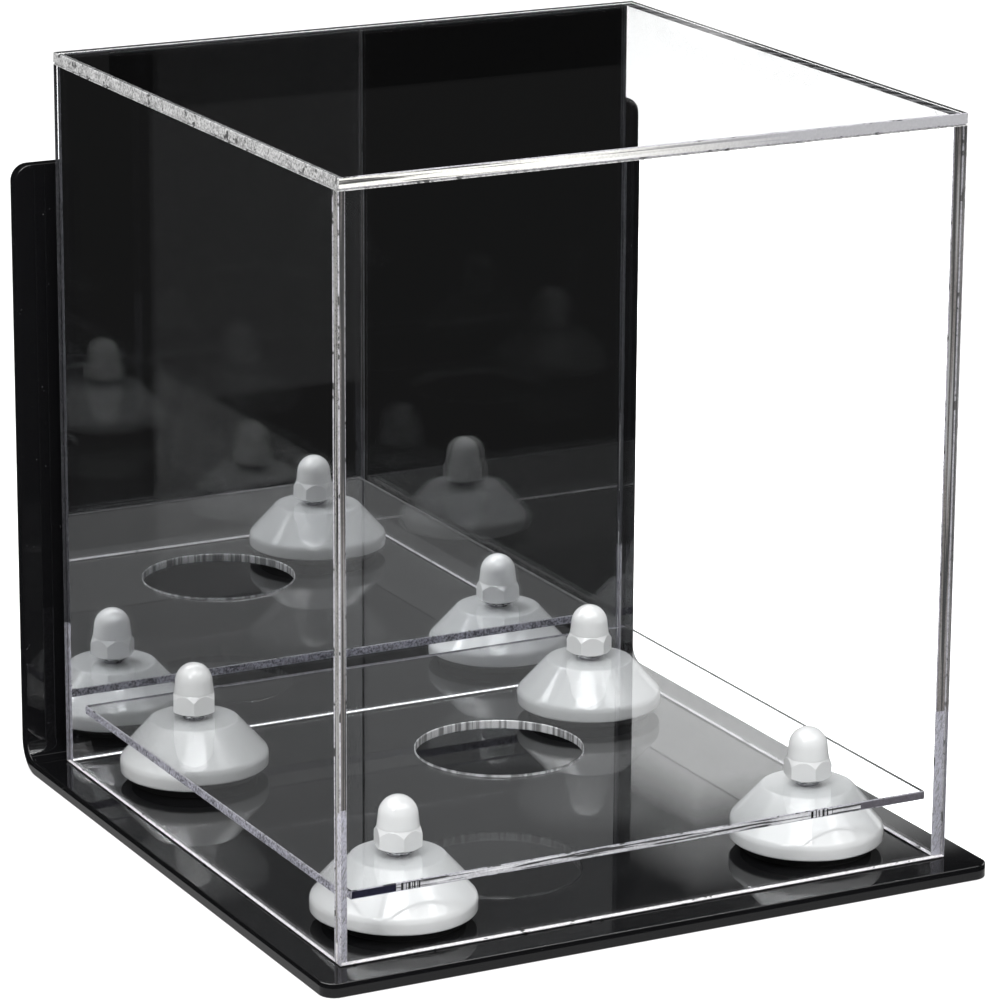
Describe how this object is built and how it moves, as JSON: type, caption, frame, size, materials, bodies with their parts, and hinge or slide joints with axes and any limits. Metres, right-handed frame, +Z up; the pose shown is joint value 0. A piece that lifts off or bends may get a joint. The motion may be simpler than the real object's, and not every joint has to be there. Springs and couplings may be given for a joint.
{
  "type": "soccer ball display case",
  "caption": "Clear acrylic display case with mirrored back, lift-off cover and clear holed platform on white domed risers, over a black L-shaped base that also hangs on a wall.",
  "frame": {"origin": "middle of the footprint, on the underside of the base", "axes": "+Z up, -Y the front of the case, +Y the wall side, +X to the right seen from the front"},
  "size_m": [0.3204, 0.3244, 0.3369],
  "materials": {
    "black_acrylic": "polished gloss black acrylic sheet",
    "clear_acrylic": "clear acrylic sheet with polished edges",
    "mirror_acrylic": "mirrored acrylic sheet",
    "white_gloss": "glossy white",
    "black_rubber": "matt black",
    "zinc_steel": "bright zinc plate"
  },
  "bodies": {
    "stand": {"base_wall_bracket": "black_acrylic", "platform_plate": "clear_acrylic", "riser_front_left": "white_gloss", "riser_front_right": "white_gloss", "riser_back_left": "white_gloss", "riser_back_right": "white_gloss", "pad_front_left": "black_rubber", "pad_front_right": "black_rubber", "pad_back_left": "black_rubber", "pad_back_right": "black_rubber", "washer_front_left": "zinc_steel", "washer_front_right": "zinc_steel", "washer_back_left": "zinc_steel", "washer_back_right": "zinc_steel", "cap_nut_front_left": "white_gloss", "cap_nut_front_right": "white_gloss", "cap_nut_back_left": "white_gloss", "cap_nut_back_right": "white_gloss", "bolt_front_left": "zinc_steel", "bolt_front_right": "zinc_steel", "bolt_back_left": "zinc_steel", "bolt_back_right": "zinc_steel"},
    "cover": {"cover_front_panel": "clear_acrylic", "cover_left_panel": "clear_acrylic", "cover_right_panel": "clear_acrylic", "cover_top_panel": "clear_acrylic", "mirror_back_panel": "mirror_acrylic"}
  },
  "joints": [
    {"name": "cover_lift", "type": "slide", "parent": "stand", "child": "cover", "axis": [0, 0, 1], "range_m": [0, 0.26]}
  ]
}
